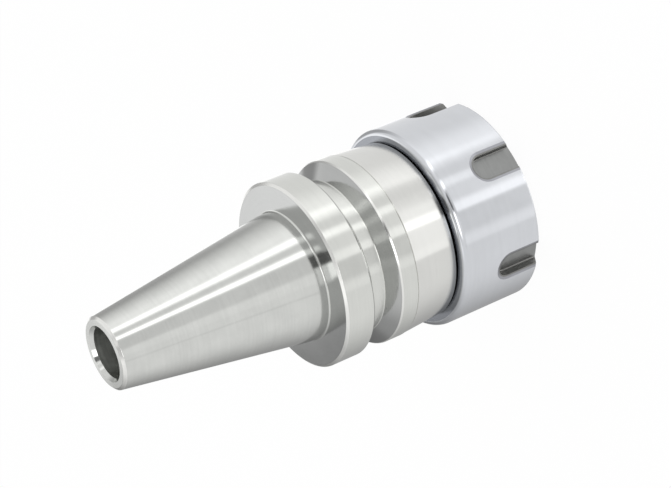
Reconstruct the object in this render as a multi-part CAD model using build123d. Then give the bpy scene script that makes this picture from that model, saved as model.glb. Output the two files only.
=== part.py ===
from build123d import *

import os
from math import cos, radians, tan

# A collet chuck holder that stands on its clamping nut. Millimetres and degrees.
# The origin is the centre of the nut's front face, and +Z runs up the axis to the shank's small end.

# Collet: a spring sleeve of the size-32 series, closed by an 8 degree cone and pulled by a 30 degree nose cone
collet_d = 33.0
collet_length = 40.0
collet_recess = 0.5
collet_wall = 2.02
collet_angle = 8.0
collet_nose_angle = 30.0
collet_nose_length = 4.3
collet_ring_drop = 0.25
collet_ring_width = 0.6
collet_groove_width = 3.2
collet_groove_depth = 2.9
collet_edge = 0.4
collet_slot_width = 1.2
collet_slot_pairs = 8
collet_slot_uncut = 6.5

# How far a cutting tool runs past the faces that it opens
overrun = 1.0

# Fits between the pieces
seat_clearance = 0.05
thread_clearance = 0.05
nut_gap = 0.3
mouth_gap = 0.8
recess_gap = 0.3

# Nose of the holder and its thread, which is drawn as a plain cylinder at the pitch diameter.
# An ISO metric thread's pitch radius lies 0.325 of the pitch inside its outer radius.
nose_wall = 3.5
thread_pitch = 1.5
pitch_drop = 0.325
thread_lead_in = 1.0
relief_width = 2.4
relief_depth = 0.5
seat_mouth_edge = 0.4

# Clamping nut
nut_length = 23.3
nut_wall = 5.0
nut_back_round = 1.3
nut_bevel = 1.5
nut_bevel_angle = 30.0
nut_mouth_land = 0.8
nut_bore_lead_in = 1.0
nut_slot_count = 6
nut_slot_width = 6.0
nut_slot_length = 12.7
nut_slot_depth = 2.5
nut_slot_rim_width = 1.0
nut_slot_rim_depth = 0.4
lip_side_gap = 0.3
lip_overlap = 1.0
lip_offset = 1.1

# Body and flange
shoulder_step = 2.1
shoulder_edge = 0.3
body_length = 11.9
body_straight = 1.5
flange_d = 46.0
flange_step = 0.1
flange_front_width = 4.4
groove_width = 8.0
groove_depth = 4.0
groove_angle = 30.0
flange_rear_width = 7.6
flange_edge_width = 0.9
flange_edge_height = 0.5
groove_edge = 0.25
neck_fillet = 0.4

# Shank with the steep 7/24 taper
gauge_d = 31.75
gauge_offset = 2.0
taper_ratio = 7.0 / 24.0
taper_length = 48.4
taper_edge = 0.6

# Bores along the axis
pilot_d = 12.5
pilot_depth = 7.0
pilot_chamfer = 0.55
pilot_chamfer_angle = 30.0
stud_thread_d = 10.2
stud_thread_length = 17.0
through_d = 8.0
shank_room = 1.5
chamber_length = 15.5
drill_angle = 60.0

# Stop screw
stop_thread_d = 16.0
stop_bore_length = 12.5
stop_length = 8.0
stop_setback = 2.5
stop_edge = 0.8
stop_socket = 8.0
stop_socket_depth = 4.5
stop_hole_d = 4.0

# Heights of the collet's features
slope = tan(radians(collet_angle))
nose_slope = tan(radians(collet_nose_angle))
collet_front = collet_recess
collet_cone_top = collet_front + collet_nose_length
collet_groove_bottom = collet_cone_top + collet_ring_width
collet_groove_top = collet_groove_bottom + collet_groove_width
collet_rear = collet_front + collet_length

# Radii of the collet
collet_r = collet_d / 2
collet_ring_r = collet_r - collet_ring_drop
collet_face_r = collet_ring_r - collet_nose_length * nose_slope
collet_groove_r = collet_r - collet_groove_depth
collet_rear_r = collet_r - (collet_rear - collet_groove_top) * slope
collet_bore_r = collet_rear_r - collet_wall

# Radii of the nose and its thread
nose_major_r = collet_r + nose_wall
pitch_r = nose_major_r - pitch_drop * thread_pitch
relief_r = pitch_r - relief_depth
nut_r = nose_major_r + nut_wall

# Heights from the nose up to the shank's small end
nose_end = collet_groove_top + mouth_gap
shoulder = nut_length + nut_gap
flange_front = shoulder + body_length
groove_bottom_z = flange_front + flange_front_width
groove_top_z = groove_bottom_z + groove_width
flange_rear = groove_top_z + flange_rear_width
gauge_line = flange_rear + gauge_offset
small_end = gauge_line + taper_length

# Radii of the outside
shoulder_r = nose_major_r + shoulder_step
flange_r = flange_d / 2
groove_r = flange_r - groove_depth
groove_slope = tan(radians(groove_angle))
gauge_r = gauge_d / 2
small_end_r = gauge_r - taper_length * taper_ratio / 2

# Bores of the holder, whose seat runs parallel to the collet's cone at the seat clearance
seat_gap = seat_clearance / cos(radians(collet_angle))
chamber_r = collet_bore_r + shank_room
stop_bore_r = stop_thread_d / 2 - pitch_drop * thread_pitch
chamber_end = collet_rear + chamber_length
stop_bore_end = chamber_end + stop_bore_length
stud_thread_end = small_end - pilot_depth - stud_thread_length


def seat_r(z):
    """Radius of the collet seat at height z."""
    return collet_r + seat_gap - (z - collet_groove_top) * slope


def nut_cone_r(z):
    """Radius of the nut's cone, parallel to the collet's nose cone, at height z."""
    gap = seat_clearance / cos(radians(collet_nose_angle))
    return collet_face_r + gap + (z - collet_front) * nose_slope


def turned(corners):
    """Solid of revolution about the axis, from (radius, height, corner round) in order round its section."""
    path = FilletPolyline(
        *[(r, z) for r, z, _ in corners], radius=[c for _, _, c in corners], close=True
    )
    return revolve(Plane.XZ * make_face(path), Axis.Z)


def bore(corners):
    """Tool that clears a stepped bore: (radius, height) pairs from the bottom up, closed along the axis."""
    path = Polyline((0, corners[0][1]), *corners, (0, corners[-1][1]), close=True)
    return revolve(Plane.XZ * make_face(path), Axis.Z)


def make_holder_body():
    """Shank, flange, body and nose in one piece, with the collet seat and the bores behind it."""
    outside = turned(
        [
            (0, nose_end, 0),
            (pitch_r - thread_lead_in, nose_end, 0),
            (pitch_r, nose_end + thread_lead_in, 0),
            (pitch_r, shoulder - relief_width, 0),
            (relief_r, shoulder - relief_width + relief_depth, 0),
            (relief_r, shoulder, 0),
            (shoulder_r - shoulder_edge, shoulder, 0),
            (shoulder_r, shoulder + shoulder_edge, 0),
            (flange_r - flange_step, flange_front - body_straight, 0),
            (flange_r - flange_step, flange_front, 0),
            (flange_r, flange_front, 0),
            (flange_r, groove_bottom_z - groove_edge, 0),
            (flange_r - groove_edge, groove_bottom_z + groove_edge * groove_slope, 0),
            (groove_r, groove_bottom_z + groove_depth * groove_slope, 0),
            (groove_r, groove_top_z - groove_depth * groove_slope, 0),
            (flange_r - groove_edge, groove_top_z - groove_edge * groove_slope, 0),
            (flange_r, groove_top_z + groove_edge, 0),
            (flange_r, flange_rear - flange_edge_height, 0),
            (flange_r - flange_edge_width, flange_rear, 0),
            (gauge_r, flange_rear, neck_fillet),
            (gauge_r, gauge_line, 0),
            (small_end_r + taper_edge * taper_ratio / 2, small_end - taper_edge, 0),
            (small_end_r - taper_edge, small_end, 0),
            (0, small_end, 0),
        ]
    )
    chamber_start = collet_groove_top + (collet_r + seat_gap - chamber_r) / slope
    step = (chamber_r - stop_bore_r) / tan(radians(drill_angle))
    inside = bore(
        [
            (seat_r(nose_end) + seat_mouth_edge, nose_end - overrun),
            (seat_r(nose_end) + seat_mouth_edge, nose_end),
            (seat_r(nose_end + seat_mouth_edge), nose_end + seat_mouth_edge),
            (chamber_r, chamber_start),
            (chamber_r, chamber_end - step),
            (stop_bore_r, chamber_end),
            (stop_bore_r, stop_bore_end),
            (through_d / 2, stop_bore_end),
            (through_d / 2, stud_thread_end),
            (stud_thread_d / 2, stud_thread_end),
            (stud_thread_d / 2, small_end - pilot_depth),
            (pilot_d / 2, small_end - pilot_depth),
            (pilot_d / 2, small_end - pilot_chamfer / tan(radians(pilot_chamfer_angle))),
            (pilot_d / 2 + pilot_chamfer, small_end),
            (pilot_d / 2 + pilot_chamfer, small_end + overrun),
        ]
    )
    return outside - inside


def make_nut_slot():
    """Tool for one spanner slot on the -Y side, open at the front, with a flat floor and a round end."""
    floor = nut_r - nut_slot_depth
    half = nut_slot_width / 2
    outline = Rectangle(nut_slot_width, 2 * (nut_slot_length - half))
    outline += Pos(0, nut_slot_length - half) * Circle(half)
    facing = Plane((0, -floor, 0), x_dir=(1, 0, 0), z_dir=(0, -1, 0))
    return extrude(facing * outline, nut_r - floor + overrun)


def make_clamping_nut():
    """Castle nut: slots with chamfered rims outside, and thread bore, extraction lip and nose cone inside."""
    nut = turned(
        [
            (0, 0, 0),
            (nut_r - nut_bevel / tan(radians(nut_bevel_angle)), 0, 0),
            (nut_r, nut_bevel, 0),
            (nut_r, nut_length, nut_back_round),
            (0, nut_length, 0),
        ]
    )
    slot = make_nut_slot()
    for i in range(nut_slot_count):
        nut -= Rot(0, 0, 360 / nut_slot_count * i) * slot
    outer_wall = nut.faces().filter_by(GeomType.CYLINDER).sort_by(SortBy.AREA)[-1]
    slot_rims = [e for e in outer_wall.edges() if e.bounding_box().size.Z > nut_bevel]
    nut = chamfer(slot_rims, nut_slot_rim_width, nut_slot_rim_depth, reference=outer_wall)
    bore_r = pitch_r + thread_clearance
    recess_r = collet_ring_r + recess_gap
    lip_bottom = collet_groove_bottom + lip_side_gap
    lip_top = collet_groove_top - lip_side_gap
    cone_top = nut_mouth_land + (recess_r - nut_cone_r(nut_mouth_land)) / nose_slope
    inside = bore(
        [
            (nut_cone_r(nut_mouth_land), -overrun),
            (nut_cone_r(nut_mouth_land), nut_mouth_land),
            (recess_r, cone_top),
            (recess_r, lip_bottom),
        ]
    )
    inside += Pos(0, 0, lip_top) * Cylinder(
        bore_r, nut_length - lip_top + overrun, align=(Align.CENTER, Align.CENTER, Align.MIN)
    )
    lip_r = collet_ring_r + lip_offset - lip_overlap
    inside += Pos(lip_offset, 0, lip_bottom) * Cylinder(
        lip_r, lip_top - lip_bottom, align=(Align.CENTER, Align.CENTER, Align.MIN)
    )
    inside += bore(
        [
            (bore_r, nut_length - nut_bore_lead_in),
            (bore_r + nut_bore_lead_in, nut_length),
            (bore_r + nut_bore_lead_in, nut_length + overrun),
        ]
    )
    return nut - inside


def make_collet():
    """Spring collet: half of its slots open at the nose and half at the rear, so it closes evenly."""
    collet = turned(
        [
            (0, collet_front, 0),
            (collet_face_r, collet_front, 0),
            (collet_ring_r, collet_cone_top, 0),
            (collet_ring_r, collet_groove_bottom, 0),
            (collet_groove_r, collet_groove_bottom, 0),
            (collet_groove_r, collet_groove_top, 0),
            (collet_r - collet_edge, collet_groove_top, 0),
            (collet_r - collet_edge * slope, collet_groove_top + collet_edge, 0),
            (collet_rear_r + collet_edge * slope, collet_rear - collet_edge, 0),
            (collet_rear_r - collet_edge, collet_rear, 0),
            (0, collet_rear, 0),
        ]
    )
    collet -= bore(
        [
            (collet_bore_r + collet_edge, collet_front - overrun),
            (collet_bore_r + collet_edge, collet_front),
            (collet_bore_r, collet_front + collet_edge),
            (collet_bore_r, collet_rear - collet_edge),
            (collet_bore_r + collet_edge, collet_rear),
            (collet_bore_r + collet_edge, collet_rear + overrun),
        ]
    )
    cut_length = collet_length - collet_slot_uncut + overrun
    blade = Pos(collet_r, 0, 0) * Box(2 * collet_r, collet_slot_width, cut_length)
    step = 360 / collet_slot_pairs
    front_z = collet_front - overrun + cut_length / 2
    rear_z = collet_rear + overrun - cut_length / 2
    for i in range(collet_slot_pairs):
        collet -= Rot(0, 0, step * i) * Pos(0, 0, front_z) * blade
        collet -= Rot(0, 0, step * (i + 0.5)) * Pos(0, 0, rear_z) * blade
    return collet


def make_stop_screw():
    """Hollow set screw with a hexagon socket towards the collet."""
    bottom = chamber_end + stop_setback
    top = bottom + stop_length
    thread_r = stop_bore_r - thread_clearance
    screw = turned(
        [
            (0, bottom, 0),
            (thread_r - stop_edge, bottom, 0),
            (thread_r, bottom + stop_edge, 0),
            (thread_r, top - stop_edge, 0),
            (thread_r - stop_edge, top, 0),
            (0, top, 0),
        ]
    )
    hexagon = RegularPolygon(stop_socket / 2, 6, major_radius=False)
    screw -= extrude(Pos(0, 0, bottom) * hexagon, stop_socket_depth)
    screw -= Pos(0, 0, bottom) * Cylinder(
        stop_hole_d / 2, stop_length, align=(Align.CENTER, Align.CENTER, Align.MIN)
    )
    return screw


os.makedirs("parts", exist_ok=True)
export_step(make_holder_body(), "parts/holder_body.step")
export_step(make_clamping_nut(), "parts/clamping_nut.step")
export_step(make_collet(), "parts/collet.step")
export_step(make_stop_screw(), "parts/stop_screw.step")
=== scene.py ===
"""Looks of a collet chuck holder that stands on its clamping nut.

Lengths are in millimetres until a mesh is written, and heights run up the chuck's axis from the nut's front
face. Angles are in radians unless a name says degrees.
"""

from __future__ import annotations

import logging
from dataclasses import dataclass, field
from enum import Enum
from math import atan2, ceil, cos, hypot, pi, radians, sin, tan

import bmesh
import bpy
import numpy as np
from mathutils import Matrix, Vector


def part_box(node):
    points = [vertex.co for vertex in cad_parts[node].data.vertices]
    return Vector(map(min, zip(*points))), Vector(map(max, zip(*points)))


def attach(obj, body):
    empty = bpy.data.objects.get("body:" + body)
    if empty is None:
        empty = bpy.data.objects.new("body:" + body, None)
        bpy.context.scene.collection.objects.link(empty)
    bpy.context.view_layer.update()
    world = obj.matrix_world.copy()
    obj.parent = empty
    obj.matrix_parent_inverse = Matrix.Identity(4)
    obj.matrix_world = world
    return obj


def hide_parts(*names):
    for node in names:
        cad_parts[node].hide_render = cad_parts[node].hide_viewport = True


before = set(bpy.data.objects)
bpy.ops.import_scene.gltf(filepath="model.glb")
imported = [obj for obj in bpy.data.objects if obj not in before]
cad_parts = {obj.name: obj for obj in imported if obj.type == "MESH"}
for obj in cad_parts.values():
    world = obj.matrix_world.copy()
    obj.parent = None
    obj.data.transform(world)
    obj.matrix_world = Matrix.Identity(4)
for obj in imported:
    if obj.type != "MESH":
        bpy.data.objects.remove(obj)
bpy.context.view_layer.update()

LOG = logging.getLogger("chuck")

MM = 0.001  # one millimetre in metres
COLUMNS = 240  # faces round a turned piece: a step of 1.5 degrees leaves 0.003 mm at the nut's radius
EDGE = 0.08  # radius of an edge that is only deburred
ROUND_STEP = radians(18)  # turn of each face along a round
WELD = 1e-4  # points nearer than this are one
PHOTO_WIDTH = 671  # pixels
SENSOR = 36.0  # Blender's sensor width


@dataclass(frozen=True)
class SteelFinish:
    """How a steel surface was cut, and what that gives the eye.

    The marks are the fine rings that a lathe or a grinding wheel leaves round the axis. They scatter light along the
    axis and hardly round it, so reflections are drawn out into streaks along the piece.
    """

    material: str
    colour: str  # sRGB hex of the metal's reflection
    roughness: float
    anisotropy: float
    mark_mm: float  # spacing of the rings, drawn coarser than real ones so that they show
    mark_bump: float  # height of the rings in micrometres
    mark_contrast: float  # share by which the rings lighten and darken the metal
    patch_mm: float  # size of the faint cloudy patches that handling leaves
    patch_contrast: float


class Surface(Enum):
    """The finishes of the chuck's pieces."""

    # Taper ground between centres: the brightest and smoothest surface, with long clean streaks
    GROUND_TAPER = SteelFinish("cylindrically_ground_tool_steel", "#D1D2CF", 0.14, 0.85, 0.3, 0.25, 0.025, 5.0, 0.035)
    # Flange and gripper groove, hard-turned, then polished: streaks with a crisp edge, slightly warm
    TURNED_FLANGE = SteelFinish("hard_turned_flange_steel", "#D5D6D2", 0.15, 0.85, 0.4, 0.3, 0.02, 7.0, 0.02)
    # Body behind the nut, fine-turned: neutral, with rings that just show
    TURNED_BODY = SteelFinish("fine_turned_body_steel", "#D8D8D5", 0.15, 0.85, 0.45, 0.2, 0.015, 8.0, 0.02)
    # Nut, centreless-ground: slightly bluish and smooth
    GROUND_NUT = SteelFinish("centreless_ground_nut_steel", "#D2D4D8", 0.15, 0.85, 0.35, 0.2, 0.015, 8.0, 0.02)
    # Flange's rear face and the groove's front wall, plunge-ground: a sharper mirror than the turned steel, and a
    # darker grey colour that is painted shade, standing in for the dark things these faces mirror
    GROUND_FACE_PAINTED_SHADE = SteelFinish("face_ground_flange_steel_painted_shade", "#B5B6B5", 0.1, 0.3, 0.4, 0.1, 0.02, 7.0, 0.02)
    # Nut's back, faced in a lathe: duller than its ground wall, and darker by painted shade, which stands in for the
    # dark gap and body that it mirrors
    FACED_BACK_PAINTED_SHADE = SteelFinish("faced_nut_back_steel_painted_shade", "#94979D", 0.2, 0.5, 0.4, 0.3, 0.03, 7.0, 0.02)
    # Edges broken with a fine stone after grinding, with a painted highlight: a colour brighter than the metal beside
    # them draws them as thin bright lines
    STONED_EDGE_PAINTED_HIGHLIGHT = SteelFinish("stoned_edge_steel_painted_highlight", "#E8E8E5", 0.22, 0.4, 0.4, 0.1, 0.02, 7.0, 0.02)
    # Floors of the spanner slots, end-milled and not ground after: satin, and a darker grey that is painted shade for
    # the slot's recess
    MILLED_SLOT_PAINTED_SHADE = SteelFinish("end_milled_slot_steel_painted_shade", "#8E8F8E", 0.34, 0.0, 0.6, 0.8, 0.04, 3.0, 0.06)
    # Walls of the spanner slots, a dull side-milled cut, with painted shade: their dark grey also draws a shaded band
    # at each rim's inner edge and a dark ring round each floor
    MILLED_WALL_PAINTED_SHADE = SteelFinish("side_milled_slot_steel_painted_shade", "#838381", 0.4, 0.0, 0.5, 0.8, 0.06, 2.0, 0.08)
    # Chamfered rims of the slots: a dull grey band
    MILLED_RIM = SteelFinish("chamfer_milled_rim_steel", "#9C9DA2", 0.36, 0.0, 0.5, 0.4, 0.03, 2.0, 0.04)
    # Bores and thread runouts, drilled and oiled: dark
    DRILLED_BORE = SteelFinish("drilled_bore_steel", "#B4B6B2", 0.36, 0.4, 0.5, 1.2, 0.09, 1.5, 0.1)
    # Threads, single-point cut
    CUT_THREAD = SteelFinish("cut_thread_steel", "#B4B5B3", 0.3, 0.6, 0.3, 0.5, 0.03, 5.0, 0.03)
    # Collet, hardened spring steel ground inside and out
    GROUND_COLLET = SteelFinish("ground_spring_steel", "#C4C4C1", 0.25, 0.7, 0.3, 0.3, 0.03, 5.0, 0.03)
    # Stop screw with black oxide, which leaves a thin dark film over the metal
    BLACK_OXIDE = SteelFinish("black_oxide_screw_steel", "#3A3B3E", 0.42, 0.2, 0.4, 0.6, 0.08, 3.0, 0.1)


def linear(hex_colour: str) -> tuple[float, float, float, float]:
    """Turns an sRGB hex colour into the linear values that a shader takes.

    Args:
        hex_colour: a colour such as "#D0D0CD".

    Returns:
        Linear red, green and blue, and an alpha of 1.
    """
    channels = [int(hex_colour[i : i + 2], 16) / 255 for i in (1, 3, 5)]
    parts = [c / 12.92 if c <= 0.04045 else ((c + 0.055) / 1.055) ** 2.4 for c in channels]
    return (parts[0], parts[1], parts[2], 1.0)


def add_node(
    tree: bpy.types.NodeTree, kind: str, settings: dict | None = None, inputs: dict | None = None
) -> bpy.types.Node:
    """Adds a node to a tree with its settings and links.

    Args:
        tree: the tree that takes the node.
        kind: the node's type name.
        settings: attributes of the node and their values.
        inputs: input names or numbers, each with a value or with the socket to link from.

    Returns:
        The new node.
    """
    node = tree.nodes.new(kind)
    for name, value in (settings or {}).items():
        setattr(node, name, value)
    for name, value in (inputs or {}).items():
        if isinstance(value, bpy.types.NodeSocket):
            tree.links.new(value, node.inputs[name])
        else:
            node.inputs[name].default_value = value
    return node


def steel_material(finish: SteelFinish) -> bpy.types.Material:
    """Builds the shader of one finish, or returns it if a piece already has it.

    The rings are noise over (x, y, z, radius), fine along the height and the radius and coarse across, so they run
    round the axis on walls and faces alike.

    Args:
        finish: how the surface was cut.

    Returns:
        The material.
    """
    found = bpy.data.materials.get(finish.material)
    if found:
        return found
    material = bpy.data.materials.new(finish.material)
    material.use_nodes = True
    tree = material.node_tree
    tree.nodes.clear()
    place = add_node(tree, "ShaderNodeTexCoord").outputs["Object"]
    across = 1 / (25 * MM)
    along = 1 / (finish.mark_mm * MM)
    stretched = add_node(
        tree, "ShaderNodeVectorMath", {"operation": "MULTIPLY"}, {0: place, 1: (across, across, along)}
    )
    flat = add_node(tree, "ShaderNodeVectorMath", {"operation": "MULTIPLY"}, {0: place, 1: (along, along, 0)})
    radius = add_node(tree, "ShaderNodeVectorMath", {"operation": "LENGTH"}, {0: flat.outputs[0]})
    rings = add_node(
        tree,
        "ShaderNodeTexNoise",
        {"noise_dimensions": "4D"},
        {"Vector": stretched.outputs[0], "W": radius.outputs["Value"], "Scale": 1.0, "Detail": 3.0, "Roughness": 0.6},
    )
    patches = add_node(
        tree,
        "ShaderNodeTexNoise",
        {},
        {"Vector": place, "Scale": 1 / (finish.patch_mm * MM), "Detail": 3.0, "Roughness": 0.55},
    )
    ring_tone = add_node(
        tree,
        "ShaderNodeMapRange",
        {},
        {
            "Value": rings.outputs[0],
            "From Min": 0.3,
            "From Max": 0.7,
            "To Min": 1 - finish.mark_contrast,
            "To Max": 1 + finish.mark_contrast,
        },
    )
    patch_tone = add_node(
        tree,
        "ShaderNodeMapRange",
        {},
        {
            "Value": patches.outputs[0],
            "From Min": 0.3,
            "From Max": 0.7,
            "To Min": 1 - finish.patch_contrast,
            "To Max": 1 + finish.patch_contrast,
        },
    )
    tone = add_node(
        tree, "ShaderNodeMath", {"operation": "MULTIPLY"}, {0: ring_tone.outputs[0], 1: patch_tone.outputs[0]}
    )
    colour = add_node(
        tree,
        "ShaderNodeVectorMath",
        {"operation": "SCALE"},
        {0: linear(finish.colour)[:3], "Scale": tone.outputs[0]},
    )
    rough = add_node(
        tree,
        "ShaderNodeMapRange",
        {},
        {
            "Value": patches.outputs[0],
            "From Min": 0.3,
            "From Max": 0.7,
            "To Min": finish.roughness * 0.92,
            "To Max": finish.roughness * 1.08,
        },
    )
    bump = add_node(
        tree,
        "ShaderNodeBump",
        {},
        {"Height": rings.outputs[0], "Strength": 1.0, "Distance": finish.mark_bump * MM * MM},
    )
    tangent = add_node(tree, "ShaderNodeTangent", {"direction_type": "RADIAL", "axis": "Z"})
    shader = add_node(
        tree,
        "ShaderNodeBsdfPrincipled",
        {},
        {
            "Base Color": colour.outputs[0],
            "Metallic": 1.0,
            "Roughness": rough.outputs[0],
            "Anisotropic": finish.anisotropy,
            "Anisotropic Rotation": 0.25,
            "Normal": bump.outputs[0],
            "Tangent": tangent.outputs[0],
        },
    )
    add_node(tree, "ShaderNodeOutputMaterial", {}, {"Surface": shader.outputs[0]})
    return material


def grid_quads(values: np.ndarray) -> np.ndarray:
    """Corners of a grid's quads: each row runs round the axis, and each column along the section.

    Args:
        values: points or normals, as rows, columns and 3 coordinates.

    Returns:
        The four corners of each quad, as quads, 4 and 3.
    """
    corners = np.stack([values[:-1, :-1], values[:-1, 1:], values[1:, 1:], values[1:, :-1]], axis=2)
    return corners.reshape(-1, 4, 3)


def unit(vectors: np.ndarray) -> np.ndarray:
    """Vectors of length 1 along the given ones, and zero where they are zero."""
    lengths = np.linalg.norm(vectors, axis=-1, keepdims=True)
    return vectors / np.where(lengths > 0, lengths, 1)


def flat_normals(quads: np.ndarray) -> np.ndarray:
    """Each quad's own normal at all of its corners: the cross product of its diagonals."""
    normals = unit(np.cross(quads[:, 2] - quads[:, 0], quads[:, 3] - quads[:, 1]))
    return np.repeat(normals[:, None], 4, axis=1)


@dataclass
class Skin:
    """The outside of one piece, gathered as quads and welded into one closed mesh."""

    quads: list[np.ndarray] = field(default_factory=list)
    normals: list[np.ndarray] = field(default_factory=list)
    surfaces: list[np.ndarray] = field(default_factory=list)
    finishes: list[Surface] = field(default_factory=list)

    def add_quads(self, quads: np.ndarray, surface: Surface, normals: np.ndarray | None = None) -> None:
        """Adds quads, and turns those round that face against the given normals.

        Args:
            quads: corners, as quads, 4 and 3, in millimetres.
            surface: the finish.
            normals: a normal for each corner, or None for flat quads that already face outwards.
        """
        flat = flat_normals(quads)
        if normals is None:
            normals = flat
        else:
            back = (flat[:, 0] * normals.mean(axis=1)).sum(axis=1) < 0
            quads = np.where(back[:, None, None], quads[:, ::-1], quads)
            normals = np.where(back[:, None, None], normals[:, ::-1], normals)
        if surface not in self.finishes:
            self.finishes.append(surface)
        self.quads.append(quads)
        self.normals.append(normals)
        self.surfaces.append(np.full(len(quads), self.finishes.index(surface)))

    def add_grid(self, points: np.ndarray, surface: Surface, normals: np.ndarray | None = None) -> None:
        """Adds a grid of points with a normal at each, or with flat faces.

        Args:
            points: rows, columns and 3 coordinates, in millimetres.
            surface: the finish.
            normals: a normal for each point, or None.
        """
        self.add_quads(grid_quads(points), surface, None if normals is None else grid_quads(normals))

    def build(self, name: str) -> bpy.types.Object:
        """Welds the quads and writes the mesh, whose shading follows the exact normals.

        Args:
            name: the piece's name.

        Returns:
            The piece, which isn't on a body yet.
        """
        quads = np.concatenate(self.quads)
        normals = np.concatenate(self.normals)
        surfaces = np.concatenate(self.surfaces)
        keys = np.floor(quads.reshape(-1, 3) / WELD + 0.37).astype(np.int64)
        _, first, index = np.unique(keys, axis=0, return_index=True, return_inverse=True)
        points = quads.reshape(-1, 3)[first] * MM
        index = index.reshape(-1, 4)
        keep = index != np.roll(index, -1, axis=1)
        folded = (index[:, 0] == index[:, 2]) | (index[:, 1] == index[:, 3])
        whole = (keep.sum(axis=1) >= 3) & ~folded
        keep &= whole[:, None]
        sizes = keep.sum(axis=1)[whole]
        mesh = bpy.data.meshes.new(name)
        mesh.vertices.add(len(points))
        mesh.vertices.foreach_set("co", points.ravel())
        mesh.loops.add(int(sizes.sum()))
        mesh.loops.foreach_set("vertex_index", index[keep].astype(np.int32))
        mesh.polygons.add(len(sizes))
        mesh.polygons.foreach_set("loop_start", np.concatenate([[0], np.cumsum(sizes)[:-1]]).astype(np.int32))
        mesh.polygons.foreach_set("material_index", surfaces[whole].astype(np.int32))
        mesh.update(calc_edges=True)
        if mesh.validate():
            LOG.warning("%s had faces that Blender mended", name)
        mesh.polygons.foreach_set("use_smooth", np.ones(len(mesh.polygons), bool))
        mesh.normals_split_custom_set(unit(normals[keep]).tolist())
        for finish in self.finishes:
            mesh.materials.append(steel_material(finish.value))
        piece = bpy.data.objects.new(name, mesh)
        bpy.context.scene.collection.objects.link(piece)
        return piece


def place_piece(piece: bpy.types.Object, body: str, node: str) -> None:
    """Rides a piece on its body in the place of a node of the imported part, and logs how it compares.

    Args:
        piece: the finished piece.
        body: the body that carries it.
        node: the node that it stands for.
    """
    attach(piece, body)
    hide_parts(node)
    mesh = piece.data
    mesh.calc_loop_triangles()
    places = np.empty(3 * len(mesh.vertices), np.float32)
    mesh.vertices.foreach_get("co", places)
    places = places.reshape(-1, 3)
    edges = np.empty(len(mesh.loops), np.int32)
    mesh.loops.foreach_get("edge_index", edges)
    loose = np.count_nonzero(np.bincount(edges, minlength=len(mesh.edges)) != 2)
    apart = np.abs(np.stack([places.min(0), places.max(0)]) - np.array(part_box(node))).max() / MM
    LOG.info("%s: %d triangles, %d open edges", piece.name, len(mesh.loop_triangles), loose)
    LOG.info("%s: its box is within %.3f mm of the node's", piece.name, apart)


def angles(count: int = COLUMNS) -> np.ndarray:
    """Angles round the axis, the last one a full turn after the first."""
    return np.linspace(0, 2 * pi, count + 1)


def ring(r: float | np.ndarray, z: float | np.ndarray) -> np.ndarray:
    """Points or directions at radius r and height z at each angle: (r cos a, r sin a, z)."""
    turn = angles()
    return np.stack(np.broadcast_arrays(r * np.cos(turn), r * np.sin(turn), z), axis=-1)


@dataclass(frozen=True)
class Corner:
    """A corner of a turned section, and the finish of the stretch that leaves it."""

    r: float
    z: float
    surface: Surface
    round: float = EDGE


def turn(skin: Skin, corners: list[Corner]) -> None:
    """Turns a section about the axis: straight stretches, joined by rounds.

    The section runs with the metal on its left, so a stretch's normal is its direction turned clockwise. A round of
    radius c begins c tan(a / 2) before a corner that turns by a, and its points lie at c from its centre along the
    turning normal.

    Args:
        skin: the piece's skin.
        corners: the section in order. Its two ends aren't rounded.
    """
    spots = np.array([(c.r, c.z) for c in corners])
    steps = np.diff(spots, axis=0)
    directions = unit(steps)
    normals = np.stack([directions[:, 1], -directions[:, 0]], axis=1)
    bends = np.zeros(len(corners))
    for i in range(1, len(corners) - 1):
        a, b = directions[i - 1], directions[i]
        bends[i] = atan2(a[0] * b[1] - a[1] * b[0], a @ b)
    trims = np.array([c.round for c in corners]) * np.tan(np.abs(bends) / 2)
    for i, direction in enumerate(directions):
        start = spots[i] + direction * trims[i]
        end = spots[i + 1] - direction * trims[i + 1]
        strip(skin, (start, end), (normals[i], normals[i]), corners[i].surface)
        bend = bends[i + 1]
        if bend == 0 or corners[i + 1].round == 0:
            continue
        reach = corners[i + 1].round * np.sign(bend)
        centre = end - reach * normals[i]
        swing = np.linspace(0, bend, max(2, ceil(abs(bend) / ROUND_STEP)) + 1)
        turned = np.stack(
            [
                normals[i, 0] * np.cos(swing) - normals[i, 1] * np.sin(swing),
                normals[i, 0] * np.sin(swing) + normals[i, 1] * np.cos(swing),
            ],
            axis=1,
        )
        strip(skin, centre + reach * turned, turned, corners[i + 1].surface)


def strip(skin: Skin, spots: np.ndarray | tuple, normals: np.ndarray | tuple, surface: Surface) -> None:
    """Turns a run of (radius, height) spots about the axis, with a (radial, axial) normal at each."""
    skin.add_grid(
        np.stack([ring(r, z) for r, z in spots]), surface, np.stack([ring(r, z) for r, z in normals])
    )


def shaped_rings(skin: Skin, rows: list[tuple[np.ndarray | float, float]], surface: Surface) -> None:
    """Joins rings whose radius may change round the axis, with flat faces and the metal on the section's left."""
    skin.add_grid(np.stack([ring(r, z) for r, z in rows]), surface)


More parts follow.
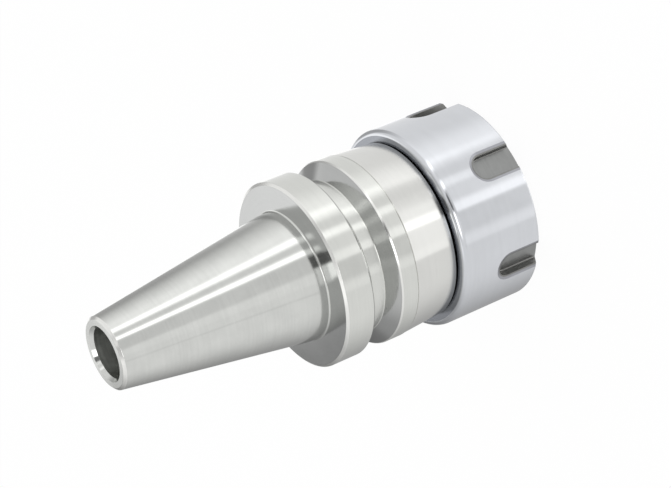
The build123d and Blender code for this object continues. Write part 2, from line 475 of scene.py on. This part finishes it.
@dataclass(frozen=True)
class Thread:
    """A right-hand ISO metric thread: 60 degree flanks, crests an eighth and roots a quarter of the pitch wide.

    The crest's centre is at height start + pitch * (angle / turn + k) for each whole k. Rows of points follow it, so the
    crests have clean edges, and stop at flat ends where a 45 degree chamfer meets the thread.
    """

    major_r: float
    pitch: float
    start: float = 0.0

    def cut(
        self,
        skin: Skin,
        low: tuple[float, float],
        high: tuple[float, float],
        inside: bool,
        play: float = 0.03,
        crest_r: float | None = None,
    ) -> None:
        """Adds the thread between two heights.

        Args:
            skin: the piece's skin.
            low: radius and height of the lower end.
            high: radius and height of the upper end.
            inside: True for the thread of a hole.
            play: how far the thread stands back from its nominal form.
            crest_r: radius that the crests are cut back to, so that a screw can slide without turning.
        """
        depth = 5 / 8 * self.pitch * sin(radians(60))
        rise = np.array([-1, 1, 3.5, 6, 10, 12.5]) / 16 * self.pitch
        sink = np.array([0, 0, 0.5, 1, 1, 0.5]) * depth
        first = int((low[1] - self.start) // self.pitch) - 1
        count = ceil((high[1] - low[1]) / self.pitch) + 3
        heights = (self.start + self.pitch * np.arange(first, first + count)[:, None] + rise).ravel()
        sinks = np.tile(sink, count)
        z = np.clip(heights[:, None] + self.pitch * angles() / (2 * pi), low[1], high[1])
        r = self.major_r + (play if inside else -play) - np.repeat(sinks[:, None], COLUMNS + 1, axis=1)
        side = -1 if inside else 1
        crests = side * r if crest_r is None else np.minimum(side * r, side * crest_r)
        ends = np.minimum(side * low[0] + z - low[1], side * high[0] + high[1] - z)
        ended = (ends < crests) | (crests < side * r)
        ends = np.minimum(ends, crests)
        r = np.where(ended, side * ends, r)
        points = np.stack([r * np.cos(angles()), r * np.sin(angles()), z], axis=-1)
        slopes = unit(np.stack([np.diff(heights), np.diff(sinks)], axis=1)) * side
        facing = np.stack([ring(a, b) for a, b in slopes])
        normals = np.stack([facing[:, :-1], facing[:, 1:], facing[:, 1:], facing[:, :-1]], axis=2)
        if inside:
            points, normals, ended = points[::-1], normals[::-1], ended[::-1]
        quads = grid_quads(points)
        touched = ended[:-1, :-1] | ended[:-1, 1:] | ended[1:, 1:] | ended[1:, :-1]
        normals = np.where(touched.reshape(-1, 1, 1), flat_normals(quads), normals.reshape(-1, 4, 3))
        skin.add_quads(quads, Surface.CUT_THREAD, normals)


NOSE_THREAD = Thread(20.0, 1.5)
STOP_THREAD = Thread(8.0, 1.5)
STUD_THREAD = Thread(6.0, 1.75)


@dataclass(frozen=True)
class ClampingNut:
    """Castle nut: a bevelled front and spanner slots outside, and thread, extraction lip and nose cone inside.

    The outside is made one sixth at a time, in a frame whose x axis runs out through a slot's middle. Each row of
    points there follows the slot: up a leg, round the end and down the other leg.
    """

    outer_r: float = 25.0
    length: float = 23.3
    bevel: float = 1.5  # height of the front bevel
    bevel_angle: float = radians(30)  # from the front face
    back_round: float = 1.3
    slot_count: int = 6
    slot_width: float = 6.0
    slot_length: float = 12.7
    slot_depth: float = 2.5
    rim_width: float = 1.0  # chamfer of the slot's rim, along the nut's wall
    rim_depth: float = 0.4  # and into it
    rim_share: float = 0.62  # of the chamfer that keeps the rim's grey, before a band of painted shade at its inner edge
    slot_root: float = 0.35
    edge_round: float = 0.2  # height of the bevel's broken edge
    join_r: float = 20.0  # circle where the turned part of the front face meets the sixths
    bore_r: float = 19.5625
    bore_lead_in: float = 1.0
    lip_top: float = 8.3
    lip_bottom: float = 5.7
    lip_r: float = 16.35
    lip_offset: float = 1.1
    recess_r: float = 16.55
    cone_angle: float = radians(30)
    mouth_r: float = 13.998
    mouth_land: float = 0.8
    leg_steps: int = 6
    land_steps: int = 14
    floor_steps: int = 12  # twice the land steps and these make up a sixth of the columns
    root_steps: int = 2

    @property
    def sector_steps(self) -> int:
        """Columns of the turned rings in each sixth of the nut."""
        return COLUMNS // self.slot_count

    @property
    def slot_end(self) -> float:
        """Height of the centre of the slot's round end."""
        return self.slot_length - self.slot_width / 2

    def build(self) -> None:
        """Builds the slotted sixths, and the turned rest."""
        skin = Skin()
        for i in range(self.slot_count):
            self.add_sector(skin, 2 * pi / self.slot_count * (i + 0.5))
        self.add_turned(skin)
        piece = skin.build("clamping_nut_ground")
        place_piece(piece, "nut", "clamping_nut")

    def bevel_height(self, r: float | np.ndarray) -> float | np.ndarray:
        """Height of the bevel at radius r."""
        return self.bevel - (self.outer_r - r) * tan(self.bevel_angle)

    def leg_heights(self, foot: float, end: float) -> np.ndarray:
        """Heights up a leg: the bevel, the end of its broken edge, and even steps from there."""
        return np.append(foot, np.linspace(foot + self.edge_round, end, self.leg_steps - 1, endpoint=False))

    def slot_row(self, half_width: float, sink: float = 0.0, level: float | None = None) -> np.ndarray:
        """One row of points along the slot, up from the bevel, round the end and back down.

        Args:
            half_width: half the distance between the legs, and the radius of the end.
            sink: how deep the row lies below the nut's round wall.
            level: the distance of a flat row from the nut's axis plane, in place of sink.

        Returns:
            The points (x, y, z).
        """
        swing = np.linspace(0, pi, self.sector_steps + 1)
        leg = np.full(self.leg_steps, half_width)
        y = np.concatenate([-leg, -half_width * np.cos(swing), leg])
        x = np.full(len(y), level) if level else np.sqrt(self.outer_r**2 - y**2) - sink
        foot = self.bevel_height(hypot(x[0], y[0]))
        rise = self.leg_heights(foot, self.slot_end)
        z = np.concatenate([rise, self.slot_end + half_width * np.sin(swing), rise[::-1]])
        return np.column_stack([x, y, z])

    def wall_normals(self) -> np.ndarray:
        """Normals of the slot's wall along a row, towards the slot's middle line."""
        row = self.slot_row(self.slot_width / 2)
        beyond = np.maximum(row[:, 2] - self.slot_end, 0)
        return unit(np.column_stack([np.zeros(len(row)), -row[:, 1], -beyond]))

    def land(self) -> np.ndarray:
        """Rows of points on the round wall, from the slot's rim out to the sixth's border.

        They are even in angle and height between the two.
        """
        rim = self.slot_row(self.slot_width / 2 + self.rim_width)
        half = pi / self.slot_count
        top = self.length - self.back_round
        rise = self.leg_heights(self.bevel, top)
        swing = np.linspace(-half, half, self.sector_steps + 1)
        border_angle = np.concatenate([np.full(self.leg_steps, -half), swing, np.full(self.leg_steps, half)])
        border_z = np.concatenate([rise, np.full(len(swing), top), rise[::-1]])
        share = np.linspace(0, 1, self.land_steps + 1)[:, None]
        angle = np.arctan2(rim[:, 1], rim[:, 0]) * (1 - share) + border_angle * share
        z = rim[:, 2] * (1 - share) + border_z * share
        return np.stack([self.outer_r * np.cos(angle), self.outer_r * np.sin(angle), z], axis=-1)

    def bevel_patch(self, corners: np.ndarray) -> np.ndarray:
        """Rows of points on the bevel, from one side of a slot out to the sixth's border.

        Args:
            corners: the points where the slot's side crosses the bevel, from the face circle outwards.

        Returns:
            A row for each corner, at its radius, and even in angle.
        """
        r = np.hypot(corners[:, 0], corners[:, 1])[:, None]
        share = np.linspace(0, 1, self.land_steps + 1)
        angle = np.arctan2(corners[:, 1], corners[:, 0])[:, None] * (1 - share) - pi / self.slot_count * share
        return np.stack([r * np.cos(angle), r * np.sin(angle), self.bevel_height(r) + 0 * angle], axis=-1)

    def add_sector(self, skin: Skin, middle: float) -> None:
        """Adds one sixth of the outside and the rim of its front face.

        Args:
            skin: the piece's skin.
            middle: the angle of the slot's middle.
        """
        # float64 throughout, as the sixths' points are welded to the turned ones
        rotation = np.array([[cos(middle), -sin(middle), 0], [sin(middle), cos(middle), 0], [0, 0, 1]])

        def put(points: np.ndarray, surface: Surface, normals: np.ndarray) -> None:
            """Turns a grid from the slot's frame to its place and adds it."""
            skin.add_grid(points @ rotation.T, surface, np.broadcast_to(normals, points.shape) @ rotation.T)

        ground, floor_painted_shade = Surface.GROUND_NUT, Surface.MILLED_SLOT_PAINTED_SHADE
        half = self.slot_width / 2
        inward = self.wall_normals()
        land = self.land()
        facing = unit(land * (1, 1, 0))
        facing[:, [0, -1]] = unit(facing + self.bevel_normals(land))[:, [0, -1]]
        put(land, ground, facing)
        wall_top = self.slot_row(half, sink=self.rim_depth)
        slant = unit(inward * self.rim_depth + unit(wall_top * (1, 1, 0)) * self.rim_width)
        # Painted shade: the chamfer's inner part, next to the wall, takes the dark wall finish as a shaded band
        painted_shade_band = land[0] * (1 - self.rim_share) + wall_top * self.rim_share
        painted_shade_band[[0, -1], 2] = self.bevel_height(np.hypot(painted_shade_band[[0, -1], 0], painted_shade_band[[0, -1], 1]))
        put(np.stack([land[0], painted_shade_band]), Surface.MILLED_RIM, slant)
        put(np.stack([painted_shade_band, wall_top]), Surface.MILLED_WALL_PAINTED_SHADE, slant)
        floor_x = self.outer_r - self.slot_depth
        hub = self.slot_row(half - self.slot_root, level=floor_x + self.slot_root)
        swing = np.linspace(0, pi / 2, self.root_steps + 1)[:, None, None]
        root_normals = inward * np.cos(swing) + np.array([1, 0, 0]) * np.sin(swing)
        root = hub - self.slot_root * root_normals
        root[:, [0, -1], 2] = self.bevel_height(np.hypot(root[:, [0, -1], 0], root[:, [0, -1], 1]))
        put(np.stack([wall_top, root[0]]), Surface.MILLED_WALL_PAINTED_SHADE, inward)
        # Painted shade: the root round takes the dark wall finish, a shaded ring round the floor
        put(root, Surface.MILLED_WALL_PAINTED_SHADE, root_normals)
        middle_column = root.shape[1] // 2
        across = np.linspace(0, 1, self.floor_steps + 1)[None, :, None]
        left, right = root[-1, : middle_column + 1, None], root[-1, ::-1][: middle_column + 1, None]
        floor = left * (1 - across) + right * across
        floor[0, :, 2] = self.bevel_height(np.hypot(floor[0, :, 0], floor[0, :, 1]))
        # Painted shade: the floor's darker grey stands for the shade in the slot
        put(floor, floor_painted_shade, np.array([1, 0, 0]))

        face_r = self.outer_r - self.bevel / tan(self.bevel_angle)
        edge = np.concatenate([root[::-1, 0], wall_top[:1], painted_shade_band[:1], land[:1, 0]])
        patch = self.bevel_patch(np.concatenate([edge[:1] * face_r / hypot(edge[0, 0], edge[0, 1]), edge]))
        for side in (1, -1):
            put(patch * (1, side, 1), ground, self.bevel_normals(patch * (1, side, 1)))
        swing = np.linspace(-1, 1, self.floor_steps + 1) * -atan2(edge[0, 1], edge[0, 0])
        face_rim = np.column_stack([face_r * np.cos(swing), face_r * np.sin(swing), 0 * swing])
        web = np.stack([face_rim, floor[0]])
        put(web, ground, self.bevel_normals(web))
        rim = np.concatenate([patch[0, ::-1], face_rim[1:-1], patch[0] * (1, -1, 1)])
        swing = np.linspace(-1, 1, self.sector_steps + 1) * pi / self.slot_count
        circle = np.column_stack([self.join_r * np.cos(swing), self.join_r * np.sin(swing), 0 * swing])
        put(np.stack([circle, rim]), ground, np.array([0, 0, -1]))

    def bevel_normals(self, points: np.ndarray) -> np.ndarray:
        """Normals of the bevel at its points: outwards by the sine of its angle, and down by the cosine."""
        return unit(points * (1, 1, 0)) * sin(self.bevel_angle) - np.array([0, 0, cos(self.bevel_angle)])

    def lip_radius(self) -> np.ndarray:
        """Radius of the extraction lip at each angle: the far side of a circle whose centre is off the axis."""
        turn_angles = angles()
        off = self.lip_offset
        radius = off * np.cos(turn_angles) + np.sqrt(self.lip_r**2 - (off * np.sin(turn_angles)) ** 2)
        near = np.abs(radius - self.recess_r) < 0.016
        return np.where(near, self.recess_r, radius)

    def add_turned(self, skin: Skin) -> None:
        """Adds the rounded back, the thread, the lip, the nose cone and the inner part of the front face."""
        nut, bore = Surface.GROUND_NUT, Surface.DRILLED_BORE
        thread_r = NOSE_THREAD.major_r + 0.08
        lead_r = self.bore_r + self.bore_lead_in
        back_r = self.outer_r - self.back_round
        swing = np.linspace(0, pi / 2, 8)
        normals = np.stack([np.cos(swing), np.sin(swing)], axis=1)
        strip(skin, np.array([back_r, self.length - self.back_round]) + self.back_round * normals, normals, nut)
        # Painted shade: the nut's back annulus takes a darker colour
        turn(skin, [Corner(back_r, self.length, Surface.FACED_BACK_PAINTED_SHADE), Corner(lead_r, self.length, nut)])
        NOSE_THREAD.cut(skin, (thread_r, self.lip_top), (lead_r, self.length), inside=True, play=0.03)
        lip = self.lip_radius()
        shaped_rings(
            skin,
            [(thread_r, self.lip_top), (lip, self.lip_top), (lip, self.lip_bottom), (self.recess_r, self.lip_bottom)],
            bore,
        )
        cone_top = self.mouth_land + (self.recess_r - self.mouth_r) / tan(self.cone_angle)
        turn(
            skin,
            [
                Corner(self.recess_r, self.lip_bottom, bore),
                Corner(self.recess_r, cone_top, nut),
                Corner(self.mouth_r, self.mouth_land, nut),
                Corner(self.mouth_r, 0, nut, 0.15),
                Corner(self.join_r, 0, nut),
            ],
        )


@dataclass(frozen=True)
class HolderBody:
    """Taper shank, flange with its gripper groove, body and threaded nose, turned from one bar."""

    nose_end: float = 9.4
    nose_r: float = 18.5125
    relief_r: float = 19.0125
    relief_width: float = 1.9
    nut_gap: float = 0.3
    shoulder_r: float = 22.1
    shoulder_edge: float = 0.3
    body_length: float = 11.9
    body_r: float = 22.9
    flange_r: float = 23.0
    joint_line: float = 0.22  # width and depth of the fine line where the flange begins
    flange_front_width: float = 4.4
    groove_width: float = 8.0
    groove_r: float = 19.0
    groove_angle: float = radians(30)
    groove_edge: float = 0.25
    groove_root: float = 0.3
    flange_rear_width: float = 7.6
    flange_edge_width: float = 0.7
    flange_edge_height: float = 0.45
    neck_r: float = 15.875
    neck_fillet: float = 0.4
    gauge_round: float = 8.0  # where the grinding wheel runs out from the taper to the neck
    gauge_offset: float = 2.0
    taper_length: float = 48.4
    taper_ratio: float = 7 / 24
    taper_edge: float = 0.6
    pilot_r: float = 6.25
    pilot_depth: float = 7.0
    pilot_chamfer: float = 0.55
    pilot_chamfer_angle: float = radians(30)
    stud_thread_length: float = 17.0
    through_r: float = 4.0
    stop_floor: float = 68.5
    stop_r: float = 7.5125
    chamber_end: float = 56.0
    chamber_r: float = 11.497
    drill_angle: float = radians(60)
    seat_r: float = 16.5505
    seat_start: float = 8.6
    seat_angle: float = radians(8)
    seat_edge: float = 0.4

    @property
    def shoulder(self) -> float:
        """Height of the shoulder behind the nut."""
        return ClampingNut.length + self.nut_gap

    @property
    def thread_end(self) -> float:
        """Height where the nose's thread runs out into the relief."""
        return self.shoulder - self.relief_width

    @property
    def flange_front(self) -> float:
        """Height of the flange's front edge."""
        return self.shoulder + self.body_length

    @property
    def groove_start(self) -> float:
        """Height of the gripper groove's lower edge."""
        return self.flange_front + self.flange_front_width

    @property
    def flange_rear(self) -> float:
        """Height of the flange's rear face."""
        return self.groove_start + self.groove_width + self.flange_rear_width

    @property
    def gauge_line(self) -> float:
        """Height where the taper begins."""
        return self.flange_rear + self.gauge_offset

    @property
    def small_end(self) -> float:
        """Height of the taper's small end, the top of the chuck."""
        return self.gauge_line + self.taper_length

    def seat_radius(self, z: float) -> float:
        """Radius of the collet seat at height z: it narrows at the seat's angle."""
        return self.seat_r - (z - self.seat_start) * tan(self.seat_angle)

    def build(self) -> None:
        """Builds the outside from the nose up, then the bores back down to the nose."""
        skin = Skin()
        NOSE_THREAD.cut(skin, (self.nose_r, self.nose_end), (self.relief_r, self.thread_end), inside=False)
        self.add_outside(skin)
        self.add_shank_bores(skin)
        self.add_nose_bores(skin)
        piece = skin.build("holder_body_turned")
        place_piece(piece, "holder", "holder_body")

    def add_outside(self, skin: Skin) -> None:
        """Relief, shoulder, body, flange, neck and taper, up to the rim of the small end."""
        body, flange, taper = Surface.TURNED_BODY, Surface.TURNED_FLANGE, Surface.GROUND_TAPER
        # ground is the face finish whose darker colour is painted shade
        edge, ground = Surface.STONED_EDGE_PAINTED_HIGHLIGHT, Surface.GROUND_FACE_PAINTED_SHADE
        slope = tan(self.groove_angle)
        depth = self.flange_r - self.groove_r
        groove_end = self.groove_start + self.groove_width
        end_r = self.neck_r - self.taper_length * self.taper_ratio / 2
        turn(
            skin,
            [
                Corner(self.relief_r, self.thread_end, body),
                Corner(self.relief_r, self.shoulder, body, 0.2),
                Corner(self.shoulder_r - self.shoulder_edge, self.shoulder, body),
                Corner(self.shoulder_r, self.shoulder + self.shoulder_edge, body),
                Corner(self.body_r, self.flange_front - self.joint_line, body, 0.03),
                Corner(self.body_r - self.joint_line, self.flange_front - self.joint_line / 2, flange, 0.03),
                Corner(self.flange_r, self.flange_front + self.joint_line / 2, flange, 0.03),
                # Painted highlight: the stoned edges' brighter colour draws them as thin bright lines
                Corner(self.flange_r, self.groove_start - self.groove_edge, edge),
                Corner(self.flange_r - self.groove_edge, self.groove_start + self.groove_edge * slope, ground),
                Corner(self.groove_r, self.groove_start + depth * slope, flange, self.groove_root),
                Corner(self.groove_r, groove_end - depth * slope, flange, self.groove_root),
                Corner(self.flange_r - self.groove_edge, groove_end - self.groove_edge * slope, flange),
                Corner(self.flange_r, groove_end + self.groove_edge, flange),
                Corner(self.flange_r, self.flange_rear - self.flange_edge_height, edge),
                Corner(self.flange_r - self.flange_edge_width, self.flange_rear, ground),
                Corner(self.neck_r, self.flange_rear, taper, self.neck_fillet),
                Corner(self.neck_r, self.gauge_line, taper, self.gauge_round),
                Corner(end_r + self.taper_edge * self.taper_ratio / 2, self.small_end - self.taper_edge, edge, 0.15),
                Corner(end_r - self.taper_edge, self.small_end, taper, 0.15),
                Corner(self.pilot_r + self.pilot_chamfer, self.small_end, taper),
            ],
        )

    def add_shank_bores(self, skin: Skin) -> None:
        """Mouth and pilot bore, stud thread and through hole, down to the stop screw's thread."""
        bore = Surface.DRILLED_BORE
        stud = STUD_THREAD.major_r
        mouth_depth = self.pilot_chamfer / tan(self.pilot_chamfer_angle)
        pilot_floor = self.small_end - self.pilot_depth
        stud_floor = pilot_floor - self.stud_thread_length
        turn(
            skin,
            [
                Corner(self.pilot_r + self.pilot_chamfer, self.small_end, Surface.GROUND_TAPER),
                Corner(self.pilot_r, self.small_end - mouth_depth, bore),
                Corner(self.pilot_r, pilot_floor, bore),
                Corner(stud, pilot_floor, bore),
            ],
        )
        STUD_THREAD.cut(skin, (stud, stud_floor), (stud, pilot_floor), inside=True, play=0.0)
        turn(
            skin,
            [
                Corner(stud, stud_floor, bore),
                Corner(self.through_r, stud_floor, bore),
                Corner(self.through_r, self.stop_floor, bore),
                Corner(STOP_THREAD.major_r, self.stop_floor, bore),
            ],
        )

    def add_nose_bores(self, skin: Skin) -> None:
        """Stop screw's thread, shank room and collet seat, down to the nose's face."""
        bore, body = Surface.DRILLED_BORE, Surface.TURNED_BODY
        stop = STOP_THREAD.major_r
        stop_mouth = self.chamber_end - (stop - self.stop_r) / tan(self.drill_angle)
        step = self.chamber_end - (self.chamber_r - self.stop_r) / tan(self.drill_angle)
        seat_end = self.seat_start + (self.seat_r - self.chamber_r) / tan(self.seat_angle)
        mouth = self.nose_end + self.seat_edge
        STOP_THREAD.cut(
            skin, (stop, stop_mouth), (stop, self.stop_floor), inside=True, play=0.0, crest_r=self.stop_r
        )
        turn(
            skin,
            [
                Corner(stop, stop_mouth, bore),
                Corner(self.chamber_r, step, bore),
                Corner(self.chamber_r, seat_end, Surface.GROUND_TAPER),
                Corner(self.seat_radius(mouth), mouth, body),
                Corner(self.seat_radius(self.nose_end) + self.seat_edge, self.nose_end, body),
                Corner(self.nose_r, self.nose_end, body),
            ],
        )


@dataclass
class StopScrew:
    """Hollow set screw with a hexagon socket towards the collet."""

    bottom: float = 58.5
    top: float = 66.5
    end_r: float = 6.6625
    thread_r: float = 7.4625
    socket: float = 8.0
    socket_floor: float = 63.0
    hole_r: float = 2.0
    face_r: float = 5.4

    def build(self) -> None:
        """Builds the threaded outside, the flat ends, the hole and the socket, whose wall is flat between corners."""
        skin = Skin()
        black = Surface.BLACK_OXIDE
        sixth = pi / 3
        hexagon = self.socket / 2 / np.cos(np.mod(angles(), sixth) - sixth / 2)
        ends = (self.end_r, self.bottom), (self.end_r, self.top)
        STOP_THREAD.cut(skin, *ends, inside=False, crest_r=self.thread_r)
        turn(
            skin,
            [
                Corner(self.end_r, self.top, black),
                Corner(self.hole_r, self.top, black, 0.2),
                Corner(self.hole_r, self.socket_floor, black),
            ],
        )
        shaped_rings(
            skin,
            [
                (self.hole_r, self.socket_floor),
                (hexagon, self.socket_floor),
                (hexagon, self.bottom),
                (self.face_r, self.bottom),
                (self.end_r, self.bottom),
            ],
            black,
        )
        piece = skin.build("stop_screw_threaded")
        piece.data.materials.clear()
        piece.data.materials.append(steel_material(black.value))
        place_piece(piece, "stop", "stop_screw")


@dataclass
class Collet:
    """Slotted spring collet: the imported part's own form, merged so that its cones shade smoothly."""

    sharp: float = radians(20)

    def build(self) -> None:
        """Copies the node's triangles, merges them and shades them smooth between edges."""
        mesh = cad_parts["collet"].data.copy()
        mesh.name = "collet_ground"
        work = bmesh.new()
        work.from_mesh(mesh)
        bmesh.ops.remove_doubles(work, verts=work.verts, dist=WELD * MM)
        work.to_mesh(mesh)
        work.free()
        mesh.shade_smooth()
        mesh.set_sharp_from_angle(angle=self.sharp)
        mesh.materials.clear()
        mesh.materials.append(steel_material(Surface.GROUND_COLLET.value))
        piece = bpy.data.objects.new("collet_ground", mesh)
        bpy.context.scene.collection.objects.link(piece)
        place_piece(piece, "collet", "collet")


@dataclass(frozen=True)
class Panel:
    """A lamp, card or gap of the tent: a patch of directions that is brighter or darker than the rest.

    Angles are in degrees, and azimuths are counted from the camera's side.
    """

    start: float  # azimuths of its two ends
    end: float
    low: float  # elevations of its lower and upper edge
    high: float
    gain: float  # brightness that it adds
    soft: tuple[float, float] = (5.0, 5.0)  # widths of its ends' blur
    fade: float = 8.0  # width of its other edges' blur

    def add(
        self, tree: bpy.types.NodeTree, around: bpy.types.NodeSocket, above: bpy.types.NodeSocket
    ) -> bpy.types.NodeSocket:
        """Adds the panel's share: four smooth steps, multiplied together and by the gain.

        Args:
            tree: the world's tree.
            around: azimuth of the direction, in radians from the camera's side.
            above: its elevation in radians.

        Returns:
            The brightness that the panel adds in that direction.
        """
        half = (self.end - self.start) / 2
        middle = radians(self.start + half)
        offset = add_node(tree, "ShaderNodeMath", {"operation": "SUBTRACT"}, {0: around, 1: middle})
        turned = add_node(tree, "ShaderNodeMath", {"operation": "WRAP"}, {0: offset.outputs[0], 1: pi, 2: -pi})
        share = None
        for value, place, blur in (
            (turned.outputs[0], -half, self.soft[0]),
            (turned.outputs[0], half, -self.soft[1]),
            (above, self.low, self.fade),
            (above, self.high, -self.fade),
        ):
            step = add_node(
                tree,
                "ShaderNodeMapRange",
                {"interpolation_type": "SMOOTHSTEP"},
                {"Value": value, "From Min": radians(place - blur / 2), "From Max": radians(place + blur / 2)},
            ).outputs[0]
            factor = self.gain if share is None else share
            share = add_node(tree, "ShaderNodeMath", {"operation": "MULTIPLY"}, {0: step, 1: factor}).outputs[0]
        return share


@dataclass
class Studio:
    """Camera, white tent and floor.

    The tent's brightness changes round the axis, as lamps, cards and gaps do in a photo tent, and the ground
    steel draws each of them out into a streak along the piece.
    """

    azimuth: float = radians(-104.7)  # of the camera, from +X towards +Y
    elevation: float = radians(27.496)
    roll: float = radians(112.573)
    distance: float = 547.0
    aim_height: float = ClampingNut.bevel  # of the point on the axis that the next two place in the view
    shift_right: float = 33.857
    shift_up: float = 10.935
    focal_px: float = 2233.7
    floor_size: float = 6000.0
    floor_glow: float = 0.95
    tent_glow: float = 0.93
    tent_floor: float = 0.08  # brightness of its darkest spots
    panels: tuple[Panel, ...] = (
        Panel(25, 34, -31, -20, 0.45, (5, 5)),  # strip lamp at the left of the camera
        Panel(22, 31, -24, 34, 0.9, (4, 6)),  # its bare upper half
        Panel(50, 62, -30, -20, 0.45, (14, 10)),  # second lamp, broader
        Panel(46, 57, -24, 34, 0.9, (9, 9)),
        Panel(56, 84, -60, 15, 0.28, (10, 34)),  # its glow on the tent's wall
        Panel(34, 45, -22, 15, -0.05, (5, 6)),  # gap between the two
        Panel(-44, 24, -90, -35, 0.42, (2, 16), 4),  # white table before the chuck
        Panel(-5, 6, -90, -28, 0.5, (3, 8), 4),  # its sheet's fold
        Panel(-44, -33, -34, -27, 0.14, (2, 12), 4),
        Panel(-30, -6, -34, -22, -0.22, (10, 5), 4),  # shadow under the camera
        Panel(-26, -10, -22, 10, 0.05, (6, 6)),
        Panel(-44, -41, -22, 10, -0.1, (2, 2)),
        Panel(-8, 20, -22, 15, -0.14, (8, 8)),
        Panel(-3, 18, 15, 50, -0.75, (4, 6)),  # camera
        Panel(-34, -5, 28, 56, 1.6, (10, 4), 10),  # window beside the camera
        Panel(162, 181.5, -60, -7, 0.33, (10, 1), 10),  # lit wall at the back, left of the seam
        Panel(150, 181.5, 24, 50, 0.38, (20, 1), 4),  # and its top
        Panel(112, 160, -22, 21, -0.47, (46, 5)),  # dark opening between them
        Panel(181.5, 238, -90, 44, -0.53, (1, 90), 24),  # unlit wall, right of the seam
        Panel(181.5, 206, -4, 20, -0.12, (1, 36), 14),  # its darkest part
        Panel(181.5, 262, -24, 20, -0.08, (1, 60)),
        Panel(-70, 16, 60, 90, -0.4, (30, 12), 8),  # roof above the camera
        Panel(180, 290, 64, 90, 0.35, (12, 30), 10),  # lamp over the tent's roof
        Panel(60, 180, 66, 90, -0.35, (20, 12), 8),
    )

    def build(self) -> None:
        """Sets up the view transform, the camera, the tent and the floor."""
        bpy.context.scene.view_settings.view_transform = "Standard"
        self.add_camera()
        self.add_tent()
        self.add_floor()

    def add_camera(self) -> None:
        """Places the camera by its direction from the chuck, its roll and where the nut's front lies in the view."""
        level_reach = cos(self.elevation)
        back = Vector((cos(self.azimuth) * level_reach, sin(self.azimuth) * level_reach, sin(self.elevation)))
        level = Vector((0, 0, 1)).cross(back).normalized()
        upright = back.cross(level)
        right = level * cos(self.roll) - upright * sin(self.roll)
        up = level * sin(self.roll) + upright * cos(self.roll)
        aim = Vector((0, 0, self.aim_height))
        place = aim + back * self.distance - right * self.shift_right - up * self.shift_up
        data = bpy.data.cameras.new("photo_camera")
        data.sensor_width = SENSOR
        data.lens = self.focal_px / PHOTO_WIDTH * SENSOR
        camera = bpy.data.objects.new("photo_camera", data)
        camera.matrix_world = Matrix.Translation(place * MM) @ Matrix((right, up, back)).transposed().to_4x4()
        bpy.context.scene.collection.objects.link(camera)
        bpy.context.scene.camera = camera

    def add_tent(self) -> None:
        """Builds the world: white to the camera, and a banded tent to everything else."""
        world = bpy.data.worlds.new("photo_tent")
        bpy.context.scene.world = world
        world.use_nodes = True
        tree = world.node_tree
        tree.nodes.clear()
        direction = add_node(tree, "ShaderNodeTexCoord").outputs["Generated"]
        facing = add_node(
            tree,
            "ShaderNodeVectorRotate",
            {"rotation_type": "Z_AXIS"},
            {"Vector": direction, "Angle": -self.azimuth},
        )
        parts = add_node(tree, "ShaderNodeSeparateXYZ", {}, {0: facing.outputs[0]})
        around = add_node(
            tree, "ShaderNodeMath", {"operation": "ARCTAN2"}, {0: parts.outputs["Y"], 1: parts.outputs["X"]}
        ).outputs[0]
        above = add_node(tree, "ShaderNodeMath", {"operation": "ARCSINE"}, {0: parts.outputs["Z"]}).outputs[0]
        glow = self.tent_glow
        for panel in self.panels:
            share = panel.add(tree, around, above)
            glow = add_node(tree, "ShaderNodeMath", {"operation": "ADD"}, {0: share, 1: glow}).outputs[0]
        lit = add_node(tree, "ShaderNodeMath", {"operation": "MAXIMUM"}, {0: glow, 1: self.tent_floor}).outputs[0]
        tent = add_node(tree, "ShaderNodeBackground", {}, {"Color": (1, 1, 1, 1), "Strength": lit})
        white = add_node(tree, "ShaderNodeBackground", {}, {"Color": (1, 1, 1, 1), "Strength": 1.0})
        seen = add_node(tree, "ShaderNodeLightPath").outputs["Is Camera Ray"]
        shown = add_node(tree, "ShaderNodeMixShader", {}, {0: seen, 1: tent.outputs[0], 2: white.outputs[0]})
        add_node(tree, "ShaderNodeOutputWorld", {}, {"Surface": shown.outputs[0]})

    def add_floor(self) -> None:
        """Adds a white floor that keeps a faint shadow.

        Reflections pass through it to the tent, as does a view from below.
        """
        half = self.floor_size / 2 * MM
        mesh = bpy.data.meshes.new("floor")
        mesh.from_pydata([(-half, -half, 0), (half, -half, 0), (half, half, 0), (-half, half, 0)], [], [(0, 1, 2, 3)])
        material = bpy.data.materials.new("white_paper_sweep")
        material.use_nodes = True
        tree = material.node_tree
        tree.nodes.clear()
        paper = add_node(tree, "ShaderNodeBsdfDiffuse", {}, {"Color": (1, 1, 1, 1)})
        glow = add_node(tree, "ShaderNodeEmission", {}, {"Color": (1, 1, 1, 1), "Strength": 1.0})
        lit = add_node(
            tree, "ShaderNodeMixShader", {}, {0: self.floor_glow, 1: paper.outputs[0], 2: glow.outputs[0]}
        )
        clear = add_node(tree, "ShaderNodeBsdfTransparent")
        seen = add_node(tree, "ShaderNodeLightPath").outputs["Is Camera Ray"]
        back = add_node(tree, "ShaderNodeNewGeometry").outputs["Backfacing"]
        from_above = add_node(tree, "ShaderNodeMath", {"operation": "SUBTRACT", "use_clamp": True}, {0: seen, 1: back})
        surface = add_node(
            tree, "ShaderNodeMixShader", {}, {0: from_above.outputs[0], 1: clear.outputs[0], 2: lit.outputs[0]}
        )
        add_node(tree, "ShaderNodeOutputMaterial", {}, {"Surface": surface.outputs[0]})
        mesh.materials.append(material)
        floor = bpy.data.objects.new("floor", mesh)
        bpy.context.scene.collection.objects.link(floor)


def main() -> None:
    """Builds the pieces and the studio."""
    logging.basicConfig(level=logging.INFO, format="%(name)s: %(message)s")
    for part in (HolderBody(), ClampingNut(), Collet(), StopScrew(), Studio()):
        part.build()
        LOG.info("%s is built", type(part).__name__)


if __name__ == "__main__":
    main()
